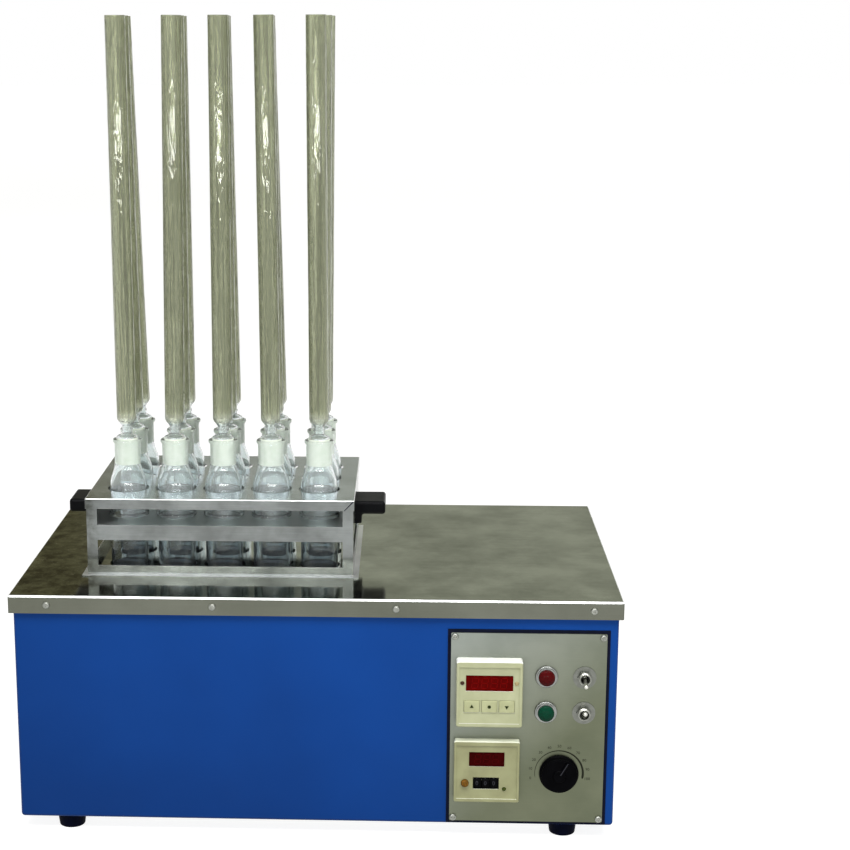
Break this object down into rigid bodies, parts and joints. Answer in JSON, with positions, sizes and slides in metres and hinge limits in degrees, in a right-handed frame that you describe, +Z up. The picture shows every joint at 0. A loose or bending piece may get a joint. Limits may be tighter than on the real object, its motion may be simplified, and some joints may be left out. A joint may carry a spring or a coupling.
{
  "type": "chemical oxygen demand reactor",
  "caption": "Bench heater with a lift-off rack of glass digestion vessels, each closed by a tall air condenser, and a control panel with knob, switches, lamps, controller and timer.",
  "frame": {"origin": "on the bench under the centre of the footprint", "axes": "+X to the right seen from the front, +Y to the back, +Z up along the condensers"},
  "size_m": [0.6648, 0.4198, 0.8811],
  "materials": {
    "blue_paint": "royal blue powder coat, fine orange peel",
    "stainless": "brushed stainless sheet",
    "zinc_plate": "zinc-plated sheet",
    "screw_steel": "nickel-plated steel",
    "black_rubber": "moulded rubber",
    "gasket_rubber": "thin dark sheet",
    "brushed_panel": "brushed and clear-anodised",
    "cream_plastic": "moulded cream housing",
    "timer_plastic": "moulded cream housing",
    "red_filter": "dark red display filter",
    "dark_red_filter": "dark red display filter",
    "led_brown": "unlit diffused indicator",
    "led_green": "unlit green indicator",
    "key_plastic": "soft keys",
    "amber_plastic": "translucent amber",
    "wheel_plastic": "black with plain numbers",
    "bright_chrome": "bright chrome",
    "red_glass": "ruby lens",
    "green_glass": "deep green lens",
    "bakelite": "polished black phenolic",
    "regulator_body": "phenolic",
    "cast_aluminium": "machined block",
    "heater_sheath": "heater sheath",
    "fibre_board": null,
    "inlet_plastic": "black thermoplastic",
    "relay_plastic": "relay housing",
    "clear_glass": "borosilicate, ground at the joints"
  },
  "bodies": {
    "base": {"casing": "blue_paint", "bottom_plate": "zinc_plate", "back_panel": "blue_paint", "top_cover": "stainless", "case_screws": "screw_steel", "rubber_feet": "black_rubber", "panel_gasket": "gasket_rubber", "control_panel": "brushed_panel", "controller_case": "cream_plastic", "controller_window": "red_filter", "controller_leds": "led_brown", "timer_case": "timer_plastic", "timer_window": "dark_red_filter", "timer_led": "led_green", "lamp_bezels": "bright_chrome", "red_lens": "red_glass", "green_lens": "green_glass", "toggle_bodies": "bright_chrome", "power_regulator": "regulator_body", "heating_block": "cast_aluminium", "heater_rods": "heater_sheath", "insulation_box": "fibre_board", "block_tray": "zinc_plate", "tray_legs": "zinc_plate", "temperature_probe": "heater_sheath", "power_inlet": "inlet_plastic", "solid_state_relay": "relay_plastic"},
    "rack": {"rack_top": "stainless", "rack_frame": "stainless", "rack_shelf": "stainless", "rack_handles": "bakelite", "handle_screws": "screw_steel", "vessels_front": "clear_glass", "vessels_middle": "clear_glass", "vessels_back": "clear_glass"},
    "regulator_knob": {"regulator_knob": "bakelite"},
    "toggle_lever_upper": {"toggle_lever_upper": "bright_chrome"},
    "toggle_lever_lower": {"toggle_lever_lower": "bright_chrome"},
    "key_up": {"key_up": "key_plastic"},
    "key_set": {"key_set": "key_plastic"},
    "key_down": {"key_down": "key_plastic"},
    "timer_button": {"timer_button": "amber_plastic"},
    "thumbwheel_hundreds": {"thumbwheel_hundreds": "wheel_plastic"},
    "thumbwheel_tens": {"thumbwheel_tens": "wheel_plastic"},
    "thumbwheel_units": {"thumbwheel_units": "wheel_plastic"},
    "condenser_front_1": {"condenser_front_1": "clear_glass"},
    "condenser_front_2": {"condenser_front_2": "clear_glass"},
    "condenser_front_3": {"condenser_front_3": "clear_glass"},
    "condenser_front_4": {"condenser_front_4": "clear_glass"},
    "condenser_front_5": {"condenser_front_5": "clear_glass"},
    "condenser_middle_1": {"condenser_middle_1": "clear_glass"},
    "condenser_middle_2": {"condenser_middle_2": "clear_glass"},
    "condenser_middle_3": {"condenser_middle_3": "clear_glass"},
    "condenser_middle_4": {"condenser_middle_4": "clear_glass"},
    "condenser_middle_5": {"condenser_middle_5": "clear_glass"},
    "condenser_back_1": {"condenser_back_1": "clear_glass"},
    "condenser_back_2": {"condenser_back_2": "clear_glass"},
    "condenser_back_3": {"condenser_back_3": "clear_glass"},
    "condenser_back_4": {"condenser_back_4": "clear_glass"},
    "condenser_back_5": {"condenser_back_5": "clear_glass"}
  },
  "joints": [
    {"name": "rack_lift", "type": "slide", "parent": "base", "child": "rack", "axis": [0, 0, 1], "range_m": [0, 0.12]},
    {"name": "regulator_turn", "type": "hinge", "parent": "base", "child": "regulator_knob", "pos_m": [0.265, -0.19101, 0.077], "axis": [0, 1, 0], "range_deg": [-131.6, 70.4]},
    {"name": "toggle_flip_upper", "type": "hinge", "parent": "base", "child": "toggle_lever_upper", "pos_m": [0.29, -0.19001, 0.1868], "axis": [1, 0, 0], "range_deg": [-30, 0]},
    {"name": "toggle_flip_lower", "type": "hinge", "parent": "base", "child": "toggle_lever_lower", "pos_m": [0.29, -0.19001, 0.1469], "axis": [1, 0, 0], "range_deg": [0, 30]},
    {"name": "key_up_press", "type": "slide", "parent": "base", "child": "key_up", "axis": [0, 1, 0], "range_m": [0, 0.0008], "stiffness_N_per_m": 800, "springref_m": -0.0004},
    {"name": "key_set_press", "type": "slide", "parent": "base", "child": "key_set", "axis": [0, 1, 0], "range_m": [0, 0.0008], "stiffness_N_per_m": 800, "springref_m": -0.0004},
    {"name": "key_down_press", "type": "slide", "parent": "base", "child": "key_down", "axis": [0, 1, 0], "range_m": [0, 0.0008], "stiffness_N_per_m": 800, "springref_m": -0.0004},
    {"name": "timer_button_press", "type": "slide", "parent": "base", "child": "timer_button", "axis": [0, 1, 0], "range_m": [0, 0.0015], "stiffness_N_per_m": 500, "springref_m": -0.0005},
    {"name": "thumbwheel_hundreds_turn", "type": "hinge", "parent": "base", "child": "thumbwheel_hundreds", "pos_m": [0.177, -0.18821, 0.0675], "axis": [1, 0, 0], "continuous": true},
    {"name": "thumbwheel_tens_turn", "type": "hinge", "parent": "base", "child": "thumbwheel_tens", "pos_m": [0.186, -0.18821, 0.0675], "axis": [1, 0, 0], "continuous": true},
    {"name": "thumbwheel_units_turn", "type": "hinge", "parent": "base", "child": "thumbwheel_units", "pos_m": [0.195, -0.18821, 0.0675], "axis": [1, 0, 0], "continuous": true},
    {"name": "condenser_front_1_lift", "type": "slide", "parent": "rack", "child": "condenser_front_1", "axis": [0, 0, 1], "range_m": [0, 0.045]},
    {"name": "condenser_front_2_lift", "type": "slide", "parent": "rack", "child": "condenser_front_2", "axis": [0, 0, 1], "range_m": [0, 0.045]},
    {"name": "condenser_front_3_lift", "type": "slide", "parent": "rack", "child": "condenser_front_3", "axis": [0, 0, 1], "range_m": [0, 0.045]},
    {"name": "condenser_front_4_lift", "type": "slide", "parent": "rack", "child": "condenser_front_4", "axis": [0, 0, 1], "range_m": [0, 0.045]},
    {"name": "condenser_front_5_lift", "type": "slide", "parent": "rack", "child": "condenser_front_5", "axis": [0, 0, 1], "range_m": [0, 0.045]},
    {"name": "condenser_middle_1_lift", "type": "slide", "parent": "rack", "child": "condenser_middle_1", "axis": [0, 0, 1], "range_m": [0, 0.045]},
    {"name": "condenser_middle_2_lift", "type": "slide", "parent": "rack", "child": "condenser_middle_2", "axis": [0, 0, 1], "range_m": [0, 0.045]},
    {"name": "condenser_middle_3_lift", "type": "slide", "parent": "rack", "child": "condenser_middle_3", "axis": [0, 0, 1], "range_m": [0, 0.045]},
    {"name": "condenser_middle_4_lift", "type": "slide", "parent": "rack", "child": "condenser_middle_4", "axis": [0, 0, 1], "range_m": [0, 0.045]},
    {"name": "condenser_middle_5_lift", "type": "slide", "parent": "rack", "child": "condenser_middle_5", "axis": [0, 0, 1], "range_m": [0, 0.045]},
    {"name": "condenser_back_1_lift", "type": "slide", "parent": "rack", "child": "condenser_back_1", "axis": [0, 0, 1], "range_m": [0, 0.045]},
    {"name": "condenser_back_2_lift", "type": "slide", "parent": "rack", "child": "condenser_back_2", "axis": [0, 0, 1], "range_m": [0, 0.045]},
    {"name": "condenser_back_3_lift", "type": "slide", "parent": "rack", "child": "condenser_back_3", "axis": [0, 0, 1], "range_m": [0, 0.045]},
    {"name": "condenser_back_4_lift", "type": "slide", "parent": "rack", "child": "condenser_back_4", "axis": [0, 0, 1], "range_m": [0, 0.045]},
    {"name": "condenser_back_5_lift", "type": "slide", "parent": "rack", "child": "condenser_back_5", "axis": [0, 0, 1], "range_m": [0, 0.045]}
  ]
}
